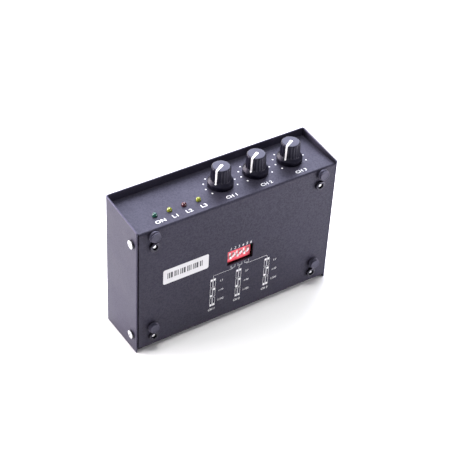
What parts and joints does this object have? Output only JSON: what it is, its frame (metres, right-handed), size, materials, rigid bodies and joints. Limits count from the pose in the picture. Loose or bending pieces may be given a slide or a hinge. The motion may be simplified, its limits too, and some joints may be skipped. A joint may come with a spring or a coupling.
{
  "type": "radio interface box",
  "caption": "Black folded-steel desktop radio interface box with level knobs, indicator lamps, a recessed slide switch in its base plate, rubber feet and rear sockets.",
  "frame": {"origin": "centre of the bounding box's footprint, on the plane of the cover's rear edge that the box stands on in the picture", "axes": "+Z out of the control panel (up in the picture, where the box stands on its rear end); -Y out of the base plate, which faces the viewer; +X to the right. In use it lies on its four feet, with -Y down and +Z to the user."},
  "size_m": [0.147, 0.0404, 0.1068],
  "materials": {
    "case_paint": "fine-texture black powder coat on steel sheet",
    "screw_bright": "zinc-plated",
    "screw_black": "glossy black",
    "foot_rubber": "moulded, matt",
    "spacer_brass": "turned",
    "board_green": "glass-epoxy board with solder mask",
    "switch_red": "moulded",
    "lever_white": "moulded",
    "tinned_wire": "tinned",
    "control_steel": "plated steel",
    "shaft_metal": "turned",
    "knob_black": "moulded, satin",
    "pointer_white": "white inlay",
    "lamp_teal": "tinted clear epoxy, unlit",
    "lamp_lime": "tinted clear epoxy, unlit",
    "lamp_maroon": "tinted clear epoxy, unlit",
    "socket_shell": "nickel-plated",
    "socket_white": "moulded",
    "contact_gold": "gold-plated",
    "socket_black": "moulded",
    "core_steel": "laminated steel",
    "coil_tape": "tape-wrapped winding",
    "chip_black": "moulded",
    "coupler_white": "moulded",
    "capacitor_sleeve": "shrink sleeve",
    "crystal_can": "plated can",
    "label_paper": "white paper label"
  },
  "bodies": {
    "chassis": {"base_chassis": "case_paint", "top_cover": "case_paint", "cover_screws": "screw_bright", "pcb_screws": "screw_bright", "board_screws": "screw_black", "rubber_feet": "foot_rubber", "board_spacers": "spacer_brass", "main_board": "board_green", "dip_body": "switch_red", "dip_pins": "tinned_wire", "led_leads": "tinned_wire", "pot_body_1": "control_steel", "pot_body_2": "control_steel", "pot_body_3": "control_steel", "pot_nuts": "control_steel", "pot_washers": "control_steel", "led_1": "lamp_teal", "led_2": "lamp_lime", "led_4": "lamp_lime", "led_3": "lamp_maroon", "usb_shell": "socket_shell", "usb_insert": "socket_white", "usb_contacts": "contact_gold", "line_contacts": "contact_gold", "line_socket": "socket_black", "jack_1": "socket_black", "jack_2": "socket_black", "transformer_cores": "core_steel", "transformer_coils": "coil_tape", "usb_chip": "chip_black", "codec_chip": "chip_black", "optocouplers": "coupler_white", "capacitors": "capacitor_sleeve", "crystal": "crystal_can", "label_sticker": "label_paper"},
    "knob_body_1": {"knob_1": "knob_black", "knob_pointer_1": "pointer_white", "pot_shaft_1": "shaft_metal"},
    "knob_body_2": {"knob_2": "knob_black", "knob_pointer_2": "pointer_white", "pot_shaft_2": "shaft_metal"},
    "knob_body_3": {"knob_3": "knob_black", "knob_pointer_3": "pointer_white", "pot_shaft_3": "shaft_metal"},
    "lever_body_1": {"dip_slider_1": "lever_white"},
    "lever_body_2": {"dip_slider_2": "lever_white"},
    "lever_body_3": {"dip_slider_3": "lever_white"},
    "lever_body_4": {"dip_slider_4": "lever_white"},
    "lever_body_5": {"dip_slider_5": "lever_white"},
    "lever_body_6": {"dip_slider_6": "lever_white"}
  },
  "joints": [
    {"name": "knob_1_turn", "type": "hinge", "parent": "chassis", "child": "knob_body_1", "pos_m": [-0.0031, 0.00115, 0.0929], "axis": [0, 0, -1], "range_deg": [0, 240]},
    {"name": "knob_2_turn", "type": "hinge", "parent": "chassis", "child": "knob_body_2", "pos_m": [0.0223, 0.00115, 0.0929], "axis": [0, 0, -1], "range_deg": [0, 240]},
    {"name": "knob_3_turn", "type": "hinge", "parent": "chassis", "child": "knob_body_3", "pos_m": [0.0477, 0.00115, 0.0929], "axis": [0, 0, -1], "range_deg": [0, 240]},
    {"name": "lever_1_slide", "type": "slide", "parent": "chassis", "child": "lever_body_1", "axis": [0, 0, 1], "range_m": [0, 0.0019]},
    {"name": "lever_2_slide", "type": "slide", "parent": "chassis", "child": "lever_body_2", "axis": [0, 0, 1], "range_m": [-0.0019, 0]},
    {"name": "lever_3_slide", "type": "slide", "parent": "chassis", "child": "lever_body_3", "axis": [0, 0, 1], "range_m": [0, 0.0019]},
    {"name": "lever_4_slide", "type": "slide", "parent": "chassis", "child": "lever_body_4", "axis": [0, 0, 1], "range_m": [-0.0019, 0]},
    {"name": "lever_5_slide", "type": "slide", "parent": "chassis", "child": "lever_body_5", "axis": [0, 0, 1], "range_m": [0, 0.0019]},
    {"name": "lever_6_slide", "type": "slide", "parent": "chassis", "child": "lever_body_6", "axis": [0, 0, 1], "range_m": [-0.0019, 0]}
  ]
}
